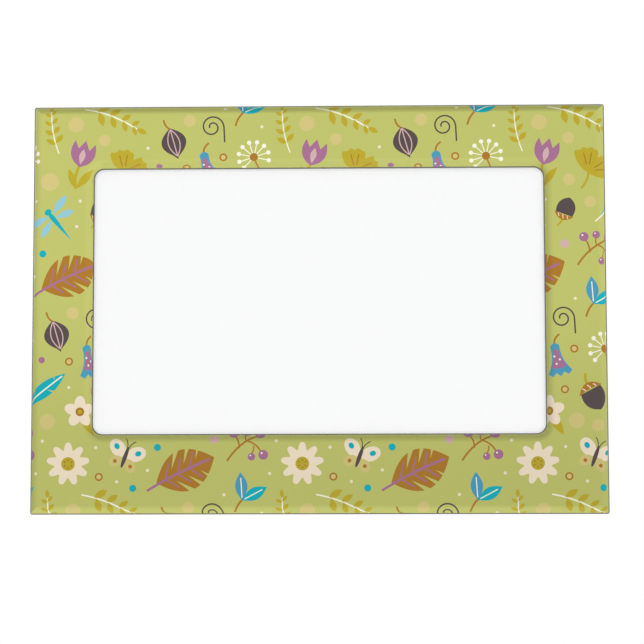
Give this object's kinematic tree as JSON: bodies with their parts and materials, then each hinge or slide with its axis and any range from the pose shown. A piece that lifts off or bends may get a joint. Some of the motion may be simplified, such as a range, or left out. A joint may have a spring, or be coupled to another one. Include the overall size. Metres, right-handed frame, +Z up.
{
  "type": "magnetic photo frame",
  "caption": "Landscape photo frame with rolled edges and a printed face, held to steel by magnet strips; a card and a clear sheet slide in from the top.",
  "frame": {"origin": "middle of the rear face of the middle magnet strip, in the plane that rests on the steel", "axes": "+X to the right as seen from the front, +Y out of the back towards the steel, +Z up"},
  "size_m": [0.1778, 0.0067, 0.127],
  "materials": {
    "shell": "satin moulded",
    "film": "printed, soft gloss",
    "clear": "clear",
    "card": "smooth white",
    "plate": "fine grain",
    "magnet": "matt",
    "tape": "matt"
  },
  "bodies": {
    "frame": {"front_shell": "shell", "printed_film": "film", "back_plate": "plate", "magnet_strip_top": "magnet", "magnet_strip_middle": "magnet", "magnet_strip_bottom": "magnet", "magnet_tape_top": "tape", "magnet_tape_middle": "tape", "magnet_tape_bottom": "tape"},
    "sheet": {"clear_sheet": "clear"},
    "card": {"photo_card": "card"}
  },
  "joints": [
    {"name": "card_slide", "type": "slide", "parent": "frame", "child": "card", "axis": [0, 0, 1], "range_m": [0, 0.115]},
    {"name": "sheet_slide", "type": "slide", "parent": "frame", "child": "sheet", "axis": [0, 0, 1], "range_m": [0, 0.115]}
  ]
}
